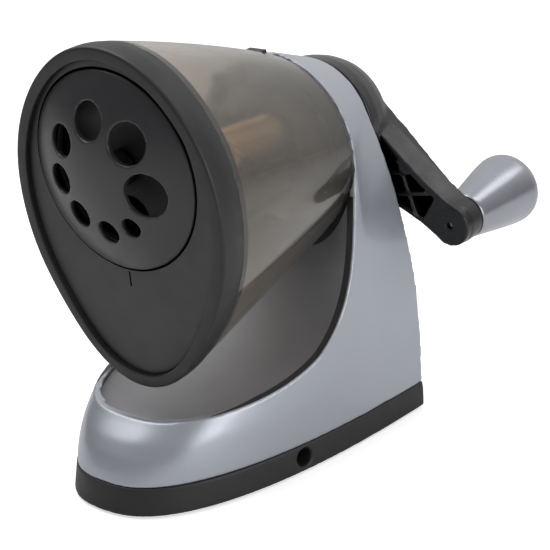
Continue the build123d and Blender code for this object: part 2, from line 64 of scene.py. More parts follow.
# ---- sizes, as in the CAD ---------------------------------------------------------------
EGG_CENTRE = 5.3                # height of the face outline's centre above the shaft
EGG_RADII = (47.4, 45.6, 42.4, 40.2, 39.2, 40.2, 43.5, 50.9, 56.7)  # top to bottom
RIM_WIDTH = 3.9
LEDGE = 1.3
BEZEL_FRONT = -1.4
BEZEL_BACK = 9.1
BEZEL_TUCK = 1.2
SPIGOT_BACK = 12.1
BIN_WALL = 2.0
BIN_SWELL = 0.9                 # how far the bin's side bulges half way along
MOUTH = 70.6
MOUTH_RADIUS = 31.0
LATCH_SLOT = (3.6, 61.4, 68.6)  # half width, front depth, back depth
KNOB_PROFILE = ((7.0, 106.3), (7.45, 106.8), (8.5, 112.0), (9.9, 119.0), (11.2, 126.0), (11.85, 130.3),
                (11.95, 132.3), (11.5, 134.2), (10.2, 135.4), (7.0, 135.8))
KNOB_END = 136.0
SPINDLE_BORE = 2.05
SPINDLE_END = 130.2             # depth of the blind bore's end
APEX = 104.5                    # depth where the cutters' axes meet the shaft
CUTTER_RADIUS = 7.5
CUTTER_START, CUTTER_END = 44.0, 74.4   # along a cutter's axis from the apex
PIN_BORE = 1.55


def to_row(points):
    """Barrel-frame points in mm as row-frame points in metres."""
    across, up, depth = np.array(points, float).T
    return [SHAFT_START + (ACROSS * a + UP * u + BACK * d) * MM for a, u, d in zip(across, up, depth)]


# ---- mesh helpers -----------------------------------------------------------------------
SMOOTH_ANGLE = math.radians(35)


def add_piece(name, points, faces, angle=SMOOTH_ANGLE):
    """A mesh object from row-frame points, its normals out, smooth below the given angle."""
    mesh = bpy.data.meshes.new(name)
    mesh.from_pydata([tuple(p) for p in points], [], faces)
    work = bmesh.new()
    work.from_mesh(mesh)
    bmesh.ops.recalc_face_normals(work, faces=work.faces)
    work.to_mesh(mesh)
    work.free()
    mesh.shade_smooth()
    mesh.set_sharp_from_angle(angle=angle)
    piece = bpy.data.objects.new(name, mesh)
    bpy.context.scene.collection.objects.link(piece)
    return piece


def settle(piece, body, slot, material, *nodes):
    """Gives a finished piece its material and body, and hides the CAD nodes it stands for. The slot is not used.
    """
    piece.data.materials.clear()
    piece.data.materials.append(material)
    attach(piece, body)
    if nodes:
        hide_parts(*nodes)
    return piece


def rounded(corners, radius, steps=5):
    """A closed outline with its corners rounded. A corner may carry its own radius."""
    made = []
    count = len(corners)
    for i, corner in enumerate(corners):
        here = Vector(corner[:2])
        wanted = corner[2] if len(corner) > 2 else radius
        before = Vector(corners[i - 1][:2]) - here
        after = Vector(corners[(i + 1) % count][:2]) - here
        reach = min(wanted, 0.48 * before.length, 0.48 * after.length)
        start, end = here + before.normalized() * reach, here + after.normalized() * reach
        for step in range(steps + 1):
            t = step / steps
            made.append(tuple(start * (1 - t) ** 2 + here * 2 * t * (1 - t) + end * t * t))
    return made


def through(points, per_span=6):
    """A smooth open curve through the points."""
    padded = [points[0]] + list(points) + [points[-1]]
    made = []
    for i in range(1, len(padded) - 2):
        a, b, c, d = (Vector(p) for p in padded[i - 1:i + 3])
        for step in range(per_span):
            t = step / per_span
            made.append(tuple(0.5 * (2 * b + (c - a) * t + (2 * a - 5 * b + 4 * c - d) * t * t
                                     + (3 * b - a - 3 * c + d) * t ** 3)))
    made.append(tuple(points[-1]))
    return made


def swept_ring(name, section, outline, count):
    """A closed section carried round: outline(angle, inset, depth) gives x, y and depth."""
    points, faces = [], []
    size = len(section)
    for step in range(count):
        angle = 2 * math.pi * step / count
        points += [outline(angle, inset, depth) for inset, depth in section]
    for step in range(count):
        near, far = step * size, (step + 1) % count * size
        for i in range(size):
            j = (i + 1) % size
            faces.append((near + i, near + j, far + j, far + i))
    return add_piece(name, to_row(points), faces)


def softened(name, node, voxel, passes, keep=1.0):
    """A CAD node's surface with its edges rounded, as moulding and casting leave them.

    The surface is rebuilt from cubes of the voxel's size in mm and smoothed in so many passes.
    keep is the share of its faces that stay.
    """
    piece = bpy.data.objects.new(name, NODES[node].data.copy())
    bpy.context.scene.collection.objects.link(piece)
    remesh = piece.modifiers.new("even", "REMESH")
    remesh.mode = "VOXEL"
    remesh.voxel_size = voxel * MM
    smooth = piece.modifiers.new("round", "SMOOTH")
    smooth.factor = 0.5
    smooth.iterations = passes
    if keep < 1.0:
        thin = piece.modifiers.new("thin", "DECIMATE")
        thin.ratio = keep
    bpy.context.view_layer.update()
    evaluated = piece.evaluated_get(bpy.context.evaluated_depsgraph_get())
    mesh = bpy.data.meshes.new_from_object(evaluated)
    piece.modifiers.clear()
    piece.data = mesh
    mesh.shade_smooth()
    mesh.set_sharp_from_angle(angle=math.radians(60))
    return piece


def fair(piece, passes, weight):
    """Irons out the part of a surface where weight(point in mm) is above zero."""
    group = piece.vertex_groups.new(name="fair")
    for vertex in piece.data.vertices:
        share = weight(vertex.co / MM)
        if share > 0.0:
            group.add([vertex.index], share, "REPLACE")
    iron = piece.modifiers.new("iron", "SMOOTH")
    iron.factor = 0.5
    iron.iterations = passes
    iron.vertex_group = group.name
    bpy.context.view_layer.update()
    mesh = bpy.data.meshes.new_from_object(piece.evaluated_get(bpy.context.evaluated_depsgraph_get()))
    piece.modifiers.clear()
    piece.vertex_groups.clear()
    piece.data = mesh
    return piece


# ---- materials --------------------------------------------------------------------------
def surface(name, colour, roughness, metallic=0.0, spread=0.10, patch=45.0, grain=2500.0, bump=0.02,
            polish=0.05, wear=0.10, coat=0.0, coat_roughness=0.1, stretch=(1, 1, 1), specular=0.5,
            painted_crevice_shade=0.0):
    """A procedural finish: cloudy colour variation, uneven polish, fine grain, worn edges and, where asked,
    painted shade in crevices.

    spread is the share by which the colour varies, patch and grain are noise scales per metre,
    bump the grain's depth in mm, polish how far the roughness varies, wear how much edges pale,
    and painted_crevice_shade the reach in mm within which neighbouring walls darken the colour
    and the shine, as painted shade in recesses.
    """
    material = bpy.data.materials.new(name)
    material.use_nodes = True
    tree = material.node_tree
    add, link = tree.nodes.new, tree.links.new
    shader = tree.nodes["Principled BSDF"]
    shader.inputs["Metallic"].default_value = metallic
    shader.inputs["Coat Weight"].default_value = coat
    shader.inputs["Coat Roughness"].default_value = coat_roughness
    shader.inputs["Specular IOR Level"].default_value = specular
    place = add("ShaderNodeTexCoord")
    mapping = add("ShaderNodeMapping")
    mapping.inputs["Scale"].default_value = stretch
    link(place.outputs["Object"], mapping.inputs["Vector"])

    def noise(scale, detail, vector):
        node = add("ShaderNodeTexNoise")
        node.inputs["Scale"].default_value = scale
        node.inputs["Detail"].default_value = detail
        link(vector, node.inputs["Vector"])
        return node.outputs["Fac"]

    cloud = noise(patch, 4.0, place.outputs["Object"])
    fine = noise(grain, 3.0, mapping.outputs["Vector"])
    tint = add("ShaderNodeMix")
    tint.data_type = "RGBA"
    tint.inputs["A"].default_value = (*[c * (1 - spread) for c in colour], 1)
    tint.inputs["B"].default_value = (*[min(1, c * (1 + spread)) for c in colour], 1)
    blend = add("ShaderNodeMapRange")
    for socket, value in (("From Min", 0.3), ("From Max", 0.7)):
        blend.inputs[socket].default_value = value
    both = add("ShaderNodeMath")
    both.operation = "MULTIPLY_ADD"
    both.inputs[1].default_value = 0.35
    link(fine, both.inputs[0])
    link(cloud, both.inputs[2])
    shift = add("ShaderNodeMath")
    shift.operation = "SUBTRACT"
    shift.inputs[1].default_value = 0.175
    link(both.outputs[0], shift.inputs[0])
    link(shift.outputs[0], blend.inputs["Value"])
    link(blend.outputs["Result"], tint.inputs["Factor"])
    edges = add("ShaderNodeMapRange")
    geometry = add("ShaderNodeNewGeometry")
    for socket, value in (("From Min", 0.52), ("From Max", 0.60), ("To Max", wear)):
        edges.inputs[socket].default_value = value
    link(geometry.outputs["Pointiness"], edges.inputs["Value"])
    worn = add("ShaderNodeMix")
    worn.data_type = "RGBA"
    worn.inputs["B"].default_value = (*[min(1, c * 0.6 + 0.3) for c in colour], 1)
    link(edges.outputs["Result"], worn.inputs["Factor"])
    link(tint.outputs["Result"], worn.inputs["A"])
    colour_socket = worn.outputs["Result"]
    # Painted shade: ambient occlusion darkens the colour and the shine in crevices and holes, where shade falls.
    if painted_crevice_shade:
        hollow = add("ShaderNodeAmbientOcclusion")
        hollow.inputs["Distance"].default_value = painted_crevice_shade * MM
        depth = add("ShaderNodeMapRange")
        for socket, value in (("From Min", 0.30), ("From Max", 0.85), ("To Min", 0.04)):
            depth.inputs[socket].default_value = value
        shine = add("ShaderNodeMath")
        shine.operation = "MULTIPLY"
        shine.inputs[1].default_value = specular
        shade = add("ShaderNodeVectorMath")
        shade.operation = "SCALE"
        link(hollow.outputs["AO"], depth.inputs["Value"])
        link(colour_socket, shade.inputs[0])
        link(depth.outputs["Result"], shade.inputs["Scale"])
        colour_socket = shade.outputs["Vector"]
        link(depth.outputs["Result"], shine.inputs[0])
        link(shine.outputs[0], shader.inputs["Specular IOR Level"])
    link(colour_socket, shader.inputs["Base Color"])
    gloss = add("ShaderNodeMapRange")
    for socket, value in (("From Min", 0.3), ("From Max", 0.7), ("To Min", roughness - polish),
                          ("To Max", roughness + polish)):
        gloss.inputs[socket].default_value = value
    link(noise(patch * 4, 5.0, mapping.outputs["Vector"]), gloss.inputs["Value"])
    link(gloss.outputs["Result"], shader.inputs["Roughness"])
    relief = add("ShaderNodeBump")
    relief.inputs["Strength"].default_value = 0.6
    relief.inputs["Distance"].default_value = bump * MM
    link(fine, relief.inputs["Height"])
    link(relief.outputs["Normal"], shader.inputs["Normal"])
    return material


PAINTED_BIN_SHADE = (0.030, 0.066, 0.62)    # depths in metres where the painted shade inside the bin starts and ends, and the share of colour it leaves


def smoky_plastic(name, clearest, dullest):
    """Clear plastic with smoke-brown dye, darkened towards the mouth by painted shade for the dark inside of the
    bin. Lamps shine through it.

    Its polish varies between the two roughnesses.
    """
    material = bpy.data.materials.new(name)
    material.use_nodes = True
    tree = material.node_tree
    add, link = tree.nodes.new, tree.links.new
    body = tree.nodes["Principled BSDF"]
    body.inputs["Transmission Weight"].default_value = 0.94
    body.inputs["IOR"].default_value = 1.46
    place = add("ShaderNodeTexCoord")
    cloud = add("ShaderNodeTexNoise")
    cloud.inputs["Scale"].default_value = 35.0
    cloud.inputs["Detail"].default_value = 3.0
    link(place.outputs["Object"], cloud.inputs["Vector"])
    dye = add("ShaderNodeMix")
    dye.data_type = "RGBA"
    dye.inputs["A"].default_value = (0.50, 0.465, 0.42, 1)
    dye.inputs["B"].default_value = (0.60, 0.56, 0.51, 1)
    link(cloud.outputs["Fac"], dye.inputs["Factor"])
    # Painted shade: the dye darkens with depth towards the mouth, standing in for the shade inside the bin.
    depth = add("ShaderNodeVectorMath")
    depth.operation = "DOT_PRODUCT"
    depth.inputs[1].default_value = BACK
    link(place.outputs["Object"], depth.inputs[0])
    painted_shade = add("ShaderNodeMapRange")
    start = SHAFT_START.dot(BACK)
    for socket, value in (("From Min", start + PAINTED_BIN_SHADE[0]), ("From Max", start + PAINTED_BIN_SHADE[1]),
                          ("To Min", 1.0), ("To Max", PAINTED_BIN_SHADE[2])):
        painted_shade.inputs[socket].default_value = value
    link(depth.outputs["Value"], painted_shade.inputs["Value"])
    shaded_dye = add("ShaderNodeVectorMath")
    shaded_dye.operation = "SCALE"
    link(dye.outputs["Result"], shaded_dye.inputs[0])
    link(painted_shade.outputs["Result"], shaded_dye.inputs["Scale"])
    link(shaded_dye.outputs["Vector"], body.inputs["Base Color"])
    gloss = add("ShaderNodeMapRange")
    gloss.inputs["To Min"].default_value = clearest
    gloss.inputs["To Max"].default_value = dullest
    link(cloud.outputs["Fac"], gloss.inputs["Value"])
    link(gloss.outputs["Result"], body.inputs["Roughness"])
    clear = add("ShaderNodeBsdfTransparent")
    clear.inputs["Color"].default_value = (0.74, 0.71, 0.67, 1)
    path = add("ShaderNodeLightPath")
    mix = add("ShaderNodeMixShader")
    link(path.outputs["Is Shadow Ray"], mix.inputs["Fac"])
    link(body.outputs[0], mix.inputs[1])
    link(clear.outputs[0], mix.inputs[2])
    link(mix.outputs[0], tree.nodes["Material Output"].inputs["Surface"])
    return material


FINISH = {
    "black_base": surface("black_base", (0.011, 0.011, 0.012), 0.50, bump=0.03, grain=1800, wear=0.05),
    "rubber": surface("rubber", (0.020, 0.020, 0.020), 0.85, bump=0.05, grain=1500, wear=0.0),
    "silver_paint": surface("silver_paint", (0.40, 0.42, 0.47), 0.36, metallic=0.55, spread=0.05, patch=18.0,
                            grain=6000.0, bump=0.006, polish=0.04, wear=0.15, coat=0.25, coat_roughness=0.2),
    "grey_liner": surface("grey_liner", (0.31, 0.312, 0.33), 0.40, spread=0.06, bump=0.02, wear=0.04,
                          specular=0.3),
    # charcoal, dial_grey and arm_black darken in their crevices and holes: painted shade.
    "charcoal": surface("charcoal", (0.025, 0.024, 0.027), 0.50, bump=0.03, grain=2200, wear=0.04,
                        painted_crevice_shade=6.0),
    "dial_grey": surface("dial_grey", (0.026, 0.026, 0.029), 0.34, bump=0.012, grain=3000, wear=0.10,
                         painted_crevice_shade=3.0),
    "rim_black": surface("rim_black", (0.010, 0.0105, 0.012), 0.48, bump=0.04, grain=1600, wear=0.02),
    "arm_black": surface("arm_black", (0.010, 0.010, 0.011), 0.30, bump=0.01, grain=2600, wear=0.04,
                         painted_crevice_shade=8.0),
    "knob_silver": surface("knob_silver", (0.34, 0.35, 0.39), 0.26, metallic=0.75, spread=0.04, patch=30.0,
                           grain=6000.0, bump=0.004, polish=0.02, wear=0.0, coat=0.2, coat_roughness=0.2),
    "gold_coating": surface("gold_coating", (0.50, 0.37, 0.22), 0.30, metallic=1.0, spread=0.10, bump=0.01,
                            wear=0.20),
    "steel": surface("steel", (0.52, 0.52, 0.53), 0.30, metallic=1.0, spread=0.05, stretch=(1, 1, 6),
                     bump=0.005, wear=0.15),
    "zinc": surface("zinc", (0.22, 0.22, 0.215), 0.48, metallic=0.9, spread=0.10, bump=0.03, wear=0.20),
    "bronze": surface("bronze", (0.40, 0.26, 0.12), 0.45, metallic=0.9, spread=0.12, bump=0.03, wear=0.15),
    "inner_black": surface("inner_black", (0.012, 0.012, 0.012), 0.50, bump=0.03, wear=0.04),
    "smoke": smoky_plastic("smoke", 0.03, 0.08),
}

for part in frame["record"]["subparts"]:
    mesh = NODES[part["node"]].data
    mesh.materials.clear()
    mesh.materials.append(FINISH[part["material_slot"]])


# ---- the face outline -------------------------------------------------------------------
def outline_series():
    """The cosine series that passes through the face outline's radii."""
    last = len(EGG_RADII) - 1
    series = []
    for k in range(last + 1):
        total = sum(r * math.cos(math.pi * k * j / last) * (0.5 if j in (0, last) else 1)
                    for j, r in enumerate(EGG_RADII))
        series.append(total * (1 if k in (0, last) else 2) / last)
    return series


SERIES = outline_series()


def egg(angle, inset, towards=0.0):
    """A point of the face outline, drawn in by inset and blended towards the round mouth."""
    radius = sum(c * math.cos(k * angle) for k, c in enumerate(SERIES))
    reach = (1 - towards) * (radius - inset) + towards * (MOUTH_RADIUS - inset)
    return reach * math.sin(angle), reach * math.cos(angle) + EGG_CENTRE * (1 - towards)


def bin_inset(inset, depth):
    """How far a bin surface is drawn in at a depth, and how far it is blended to the mouth."""
    blend = (depth - BEZEL_BACK) / (MOUTH - BEZEL_BACK)
    return inset + BEZEL_TUCK * (1 - blend) - BIN_SWELL * 4 * blend * (1 - blend), blend


# ---- bezel ------------------------------------------------------------------------------
def make_bezel():
    spigot = BIN_WALL + 0.1
    section = rounded([
        (0.0, BEZEL_FRONT, 1.1), (RIM_WIDTH, BEZEL_FRONT, 0.5), (RIM_WIDTH, 3.2, 0.1),
        (RIM_WIDTH + LEDGE, 3.2, 0.1), (RIM_WIDTH + LEDGE, SPIGOT_BACK, 0.3),
        (bin_inset(spigot, SPIGOT_BACK)[0], SPIGOT_BACK, 0.3),
        (bin_inset(spigot, BEZEL_BACK)[0], BEZEL_BACK, 0.1),
        (BEZEL_TUCK, BEZEL_BACK, 0.4), (0.0, 4.0, 2.0)], 0.3)
    piece = swept_ring("bezel_rim", section, lambda angle, inset, depth: (*egg(angle, inset), depth), 240)
    return settle(piece, "bin", "charcoal", FINISH["rim_black"], "bezel")


# ---- bin --------------------------------------------------------------------------------
def make_bin():
    """The see-through tapered bin, with the latch's slot through its top."""
    half, front, back = LATCH_SLOT
    slot_angle = math.asin(half / (MOUTH_RADIUS + 0.6))
    around = sorted([2 * math.pi * i / 180 for i in range(180) if min(i, 180 - i) > 6]
                    + [a % (2 * math.pi) for a in np.linspace(-slot_angle, slot_angle, 9)])
    depths = list(np.linspace(BEZEL_BACK, front, 15)) + list(np.linspace(front, back, 4)[1:]) + [
        69.6, MOUTH - 0.35, MOUTH]
    lift = [0.0] * (len(depths) - 2) + [0.08, 0.4]      # rounds the rear edge over
    count, rows = len(around), len(depths)
    points, faces = [], []
    for skin, sign in ((0.0, 1), (BIN_WALL, -1)):
        for depth, round_over in zip(depths, lift):
            inset, blend = bin_inset(skin + sign * round_over, depth)
            points += [(*egg(angle, inset, blend), depth) for angle in around]

    def index(skin, row, step):
        return (skin * rows + row) * count + step % count

    in_slot = [a < slot_angle - 1e-6 or a >= 2 * math.pi - slot_angle - 1e-6 for a in around]
    open_cells = {(row, step) for row in range(rows - 1) for step in range(count)
                  if in_slot[step] and front - 0.01 < depths[row] < back - 0.01}
    for row in range(rows - 1):
        for step in range(count):
            if (row, step) in open_cells:
                continue
            for skin in (0, 1):
                faces.append((index(skin, row, step), index(skin, row, step + 1),
                              index(skin, row + 1, step + 1), index(skin, row + 1, step)))
            for cell, a, b in (((row, (step + 1) % count), (row, step + 1), (row + 1, step + 1)),
                               ((row, (step - 1) % count), (row, step), (row + 1, step)),
                               ((row + 1, step), (row + 1, step), (row + 1, step + 1)),
                               ((row - 1, step), (row, step), (row, step + 1))):
                if cell in open_cells:
                    faces.append((index(0, *a), index(0, *b), index(1, *b), index(1, *a)))
    for row in (0, rows - 1):
        for step in range(count):
            faces.append((index(0, row, step), index(0, row, step + 1),
                          index(1, row, step + 1), index(1, row, step)))
    piece = add_piece("smoky_bin", to_row(points), faces)
    settle(piece, "bin", "smoke", FINISH["smoke"], "bin_shell")
    piece.data.materials.append(smoky_plastic("smoke_inside", 0.10, 0.20))
    for face in piece.data.polygons:
        if all(v >= rows * count for v in face.vertices):
            face.material_index = 1
    return piece


# ---- knob -------------------------------------------------------------------------------
def make_knob():
    """The flared grip, with a softly crowned end and a blind bore for its spindle."""
    centre = Vector(JOINTS["knob_spin"]["pos_m"]) - SHAFT_START
    x, y = centre.dot(ACROSS) / MM, centre.dot(UP) / MM
    outside = through(list(KNOB_PROFILE), 8)
    crown = [(r, KNOB_END - 0.2 * (r / 7.0) ** 2) for r in (5.0, 3.0, 1.0)]
    mouth = KNOB_PROFILE[0][1]
    bore = [(SPINDLE_BORE, SPINDLE_END), (SPINDLE_BORE, mouth + 0.7), (SPINDLE_BORE + 0.5, mouth)]
    profile = [(0.0, SPINDLE_END)] + bore + outside + crown + [(0.0, KNOB_END)]
    segments = 96
    points, faces, rings = [], [], []
    for radius, depth in profile:
        if radius == 0.0:
            rings.append([len(points)] * segments)
            points.append((x, y, depth))
            continue
        rings.append(list(range(len(points), len(points) + segments)))
        points += [(x + radius * math.cos(2 * math.pi * s / segments),
                    y + radius * math.sin(2 * math.pi * s / segments), depth) for s in range(segments)]
    for near, far in zip(rings, rings[1:]):
        for s in range(segments):
            t = (s + 1) % segments
            corners = [near[s], near[t], far[t], far[s]]
            faces.append(tuple(dict.fromkeys(corners)))
    piece = add_piece("crank_knob", to_row(points), faces)
    return settle(piece, "knob", "knob_silver", FINISH["knob_silver"], "knob")


# ---- cutters ----------------------------------------------------------------------------
FLUTES = 16
HELIX_TURN = 0.62               # turns of a flute over the cutter's length


def make_cutter(name):
    """A helical milling cutter: saw-tooth flutes wound round a bored cylinder."""
    axis = -Vector(JOINTS[name + "_spin"]["axis"]).normalized()
    apex = SHAFT_START + BACK * APEX * MM
    side = axis.orthogonal().normalized()
    other = axis.cross(side)
    tooth = ((0.0, CUTTER_RADIUS), (0.10, CUTTER_RADIUS - 0.05), (0.55, CUTTER_RADIUS - 0.75),
             (0.82, CUTTER_RADIUS - 1.15), (0.96, CUTTER_RADIUS - 0.85))
    ends = 0.8                  # chamfer at each end
    stations = [CUTTER_START, CUTTER_START + ends] + list(
        np.linspace(CUTTER_START, CUTTER_END, 46)[2:-2]) + [CUTTER_END - ends, CUTTER_END]
    points, faces = [], []
    count = FLUTES * len(tooth)
    for along in stations:
        turn = HELIX_TURN * (along - CUTTER_START) / (CUTTER_END - CUTTER_START)
        taper = 0.9 if along in (CUTTER_START, CUTTER_END) else 1.0
        for flute in range(FLUTES):
            for share, radius in tooth:
                angle = 2 * math.pi * ((flute + share) / FLUTES + turn)
                out = side * math.cos(angle) + other * math.sin(angle)
                points.append(apex + (axis * along + out * radius * taper) * MM)
    outer_rows = len(stations)
    for along in (CUTTER_END, CUTTER_START):
        for step in range(count):
            angle = 2 * math.pi * step / count
            out = side * math.cos(angle) + other * math.sin(angle)
            points.append(apex + (axis * along + out * PIN_BORE) * MM)
    rows = outer_rows + 2
    for row in range(rows):
        after = (row + 1) % rows
        for step in range(count):
            following = (step + 1) % count
            faces.append((row * count + step, row * count + following,
                          after * count + following, after * count + step))
    piece = add_piece(name + "_burr", points, faces, math.radians(25))
    return settle(piece, name, "gold_coating", FINISH["gold_coating"], name)


# ---- scoop under the bin ----------------------------------------------------------------
# Side-view curves (y, z): along the housing's swoosh edge, and along the middle of the scoop.
LIP = ((-55.0, 23.8), (-38.0, 26.8), (-15.0, 29.4), (6.0, 36.3), (17.5, 46.0), (25.9, 67.0), (27.6, 80.0))
TROUGH = ((-55.0, 22.4), (-40.0, 20.6), (-16.0, 21.8), (6.0, 29.2), (20.0, 38.5), (30.0, 49.5), (35.0, 57.0))
SCOOP_ROWS, SCOOP_COLUMNS = 36, 40  # rows in each span of the curves, columns across
SCOOP_FLATNESS = 2.4            # how flat the trough's floor is
LINER_DROP = 1.6                # how far the liner's edge lies below the housing's
LINER_WALL = 1.2
LINER_GAP = 0.35


def make_scoop():
    """The concave grey liner that closes the housing under the bin."""
    housing = BVHTree.FromObject(NODES["housing"], bpy.context.evaluated_depsgraph_get())
    edge, middle = through(LIP, SCOOP_ROWS), through(TROUGH, SCOOP_ROWS)
    rows, columns = [], SCOOP_COLUMNS
    tip = 0.5 - housing.ray_cast(Vector((0, 0, (LIP[0][1] - LINER_DROP) * MM)), -Vector((0, 1, 0)))[3] / MM
    for (lip_y, lip_z), (mid_y, mid_z) in zip(edge, middle):
        if lip_y < tip:
            continue
        reach = min(housing.ray_cast(Vector((0, lip_y * MM, (lip_z - drop) * MM)), ACROSS)[3] or math.inf
                    for drop in (LINER_DROP, LINER_DROP + LINER_WALL))
        if reach < math.inf:
            rows.append((reach / MM - LINER_GAP, lip_y, lip_z - LINER_DROP, mid_y, mid_z))
    points, faces = [], []
    for wall in (0.0, LINER_WALL):
        for width, lip_y, lip_z, mid_y, mid_z in rows:
            for column in range(columns + 1):
                share = math.sin(math.pi * (column / columns - 0.5))
                rise = abs(share) ** SCOOP_FLATNESS
                y, z = mid_y + (lip_y - mid_y) * rise, mid_z + (lip_z - mid_z) * rise
                points.append(Vector((share * width, y + 0.4 * wall, z - 0.9 * wall)) * MM)
    size, count = columns + 1, len(rows)
    for row in range(count - 1):
        for column in range(columns):
            for skin in (0, count * size):
                a = skin + row * size + column
                faces.append((a, a + 1, a + size + 1, a + size))
    outline = ([(0, c) for c in range(columns)] + [(r, columns) for r in range(count - 1)]
               + [(count - 1, c) for c in range(columns, 0, -1)] + [(r, 0) for r in range(count - 1, 0, -1)])
    for (r1, c1), (r2, c2) in zip(outline, outline[1:] + outline[:1]):
        a, b = r1 * size + c1, r2 * size + c2
        faces.append((a, b, b + count * size, a + count * size))
    piece = add_piece("scoop_liner", points, faces, math.radians(50))
    return settle(piece, "stand", "grey_liner", FINISH["grey_liner"], "cradle")


# ---- dark strip on the housing's cut edge ------------------------------------------------
STRIP_ROWS = 14
STRIP_EDGE = 0.7                 # silver left showing outside the strip
STRIP_PROBE = 0.8                # how far inside the edge the wall's width is measured
STRIP_RISE = 0.10                # how far the strip stands above the cut edge of the housing
STRIP_WALL = 0.4
STRIP_LAP = 0.7                  # how far it reaches past the housing's wall, over the liner
OUTSIDE = 60.0                  # clear of the housing, to look back at its side from
STRIP_START = (-34.0, -18.0)     # y between which it widens from nothing to its full width


# The strip darkens the band along the lip, between the silver edge and the grey liner.
def make_dark_strip(name, side):
    """The dark strip that lies on the housing's cut edge, on one side of the scoop."""
    housing = BVHTree.FromObject(NODES["housing"], bpy.context.evaluated_depsgraph_get())
    edge = [Vector(p) for p in through(LIP, STRIP_ROWS)]
    points, faces = [], []
    for i, (y, z) in enumerate(edge):
        share = (y - STRIP_START[0]) / (STRIP_START[1] - STRIP_START[0])
        if share <= 0.0:
            continue
        along = (edge[min(i + 1, len(edge) - 1)] - edge[max(i - 1, 0)]).normalized()
        inward = Vector((0, along.y, -along.x))
        level = Vector((0, y, z)) + inward * STRIP_PROBE
        inner = housing.ray_cast(level * MM, ACROSS)[3]
        gap = housing.ray_cast((level + ACROSS * OUTSIDE) * MM, -ACROSS)[3]
        if inner is None or gap is None:
            break
        inner, outer = inner / MM, OUTSIDE - gap / MM
        over_wall = Vector(((inner + outer) / 2, y, z)) - inward * STRIP_PROBE * 4
        seat = housing.ray_cast(over_wall * MM, inward)[0]
        if seat is None:
            continue
        seat = seat / MM
        wide, narrow = outer - STRIP_EDGE, inner - STRIP_LAP
        narrow = wide + (narrow - wide) * min(1.0, share)
        for x, rise in ((wide, STRIP_RISE), (narrow, STRIP_RISE), (narrow, STRIP_RISE - STRIP_WALL),
                        (wide, STRIP_RISE - STRIP_WALL)):
            points.append((Vector((side * x, seat.y, seat.z)) - inward * rise) * MM)
    rows = len(points) // 4
    for row in range(rows - 1):
        for i in range(4):
            j = (i + 1) % 4
            faces.append((row * 4 + i, row * 4 + j, row * 4 + 4 + j, row * 4 + 4 + i))
    faces += [(0, 1, 2, 3), tuple(rows * 4 - k for k in (1, 2, 3, 4))]
    piece = add_piece(name, points, faces)
    return settle(piece, "stand", "charcoal", FINISH["charcoal"])


# ---- parts softened from the CAD ---------------------------------------------------------
TOE_BACK = 2.0                  # y behind which the toe is left alone
TOE_HEIGHTS = (10.2, 23.0)      # the toe is ironed between these, clear of its joint and its lip
REAR_HEIGHT, REAR_Y = 93.8, 50.5    # a point of the housing's rear wall
REAR_SLOPE = math.tan(math.radians(5.2))
REAR_REACH = 3.0                # how far in front of the rear wall its edges are ironed
HUB_DOME = (100.0, 24.0)        # the hub's dome starts at this depth, within this radius


def on_toe(point):
    """1 on the silver toe, fading to 0 at its joint, at its lip and towards the back."""
    low, high = TOE_HEIGHTS
    return max(0.0, min(1.0, (TOE_BACK - point.y) / 6, (point.z - low) / 1.5, (high - point.z) / 1.5))


def on_rear(point):
    """1 at the housing's rear wall, fading to 0 in front of it."""
    wall = REAR_Y + (REAR_HEIGHT - point.z) * REAR_SLOPE
    return max(0.0, min(1.0, point.y - wall + REAR_REACH))


def on_dome(point):
    """1 on the crank hub's dome, fading to 0 at its front and at the arm."""
    arm = point - SHAFT_START / MM
    depth = arm.dot(BACK)
    return max(0.0, min(1.0, (depth - HUB_DOME[0]) / 2, (HUB_DOME[1] - (arm - BACK * depth).length) / 2))


make_bezel()
make_bin()
make_scoop()
make_dark_strip("dark_strip_right", 1)
make_dark_strip("dark_strip_left", -1)
make_knob()
for cutter in ("cutter_a", "cutter_b"):
    make_cutter(cutter)
shell = softened("silver_housing", "housing", 0.5, 3)
fair(shell, 60, on_toe)
fair(shell, 14, on_rear)
settle(shell, "stand", "silver_paint", FINISH["silver_paint"], "housing")
settle(softened("base", "base_tray", 0.5, 4, 0.35), "stand", "black_base", FINISH["black_base"], "base_tray")
handle = softened("crank", "crank_arm", 0.4, 7)
fair(handle, 40, on_dome)
settle(handle, "crank", "arm_black", FINISH["arm_black"], "crank_arm")
settle(softened("size_dial", "dial", 0.35, 4, 0.6), "dial", "dial_grey", FINISH["dial_grey"], "dial")

# ---- floor, light and camera ------------------------------------------------------------
FLOOR_SIZE = 6.0
FLOOR_GLOW = 0.60               # lifts the paper floor to white, so that only its shadows show


def seen_straight(tree):
    """A socket that is 1 for what is seen directly or through clear plastic, and 0 for what only lights."""
    path = tree.nodes.new("ShaderNodeLightPath")
    either = tree.nodes.new("ShaderNodeMath")
    either.operation = "MAXIMUM"
    tree.links.new(path.outputs["Is Camera Ray"], either.inputs[0])
    tree.links.new(path.outputs["Is Transmission Ray"], either.inputs[1])
    return either.outputs[0]


